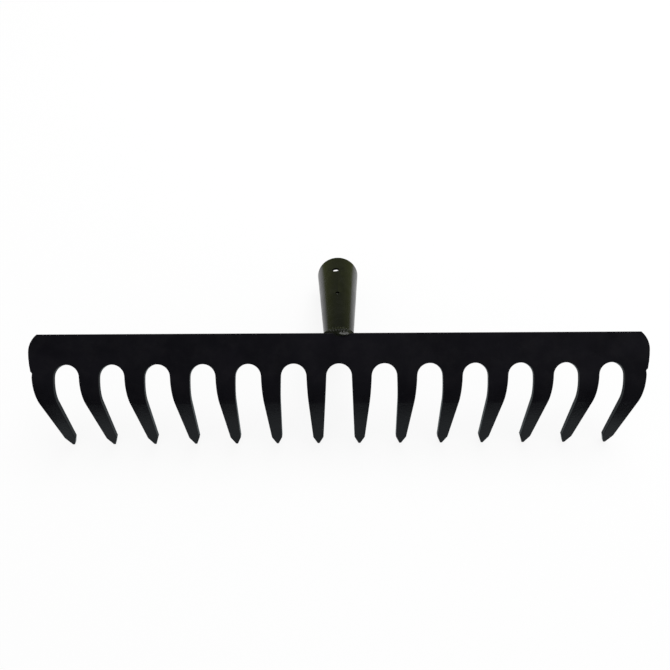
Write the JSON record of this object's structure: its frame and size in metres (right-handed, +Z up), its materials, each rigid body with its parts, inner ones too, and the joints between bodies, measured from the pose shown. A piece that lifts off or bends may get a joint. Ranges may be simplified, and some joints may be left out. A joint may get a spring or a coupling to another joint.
{
  "type": "garden rake head",
  "caption": "Steel garden rake head: a flat spine with a row of back-bent pointed teeth and a welded conical socket that takes a wooden handle.",
  "frame": {"origin": "centre of the socket's mouth, where the handle goes in", "axes": "+X along the head, +Z up as the head lies on a bench on the tips of its teeth and the rim of its socket, +Y from the teeth towards the socket's mouth; the socket's axis falls 31.1 degrees towards +Y"},
  "size_m": [0.3688, 0.1332, 0.0708],
  "materials": {
    "plate_paint": "satin",
    "socket_paint": "satin",
    "weld_paint": "gloss"
  },
  "bodies": {
    "root": {"tooth_plate": "plate_paint", "handle_socket": "socket_paint", "top_weld": "weld_paint", "under_weld": "weld_paint"}
  },
  "joints": []
}
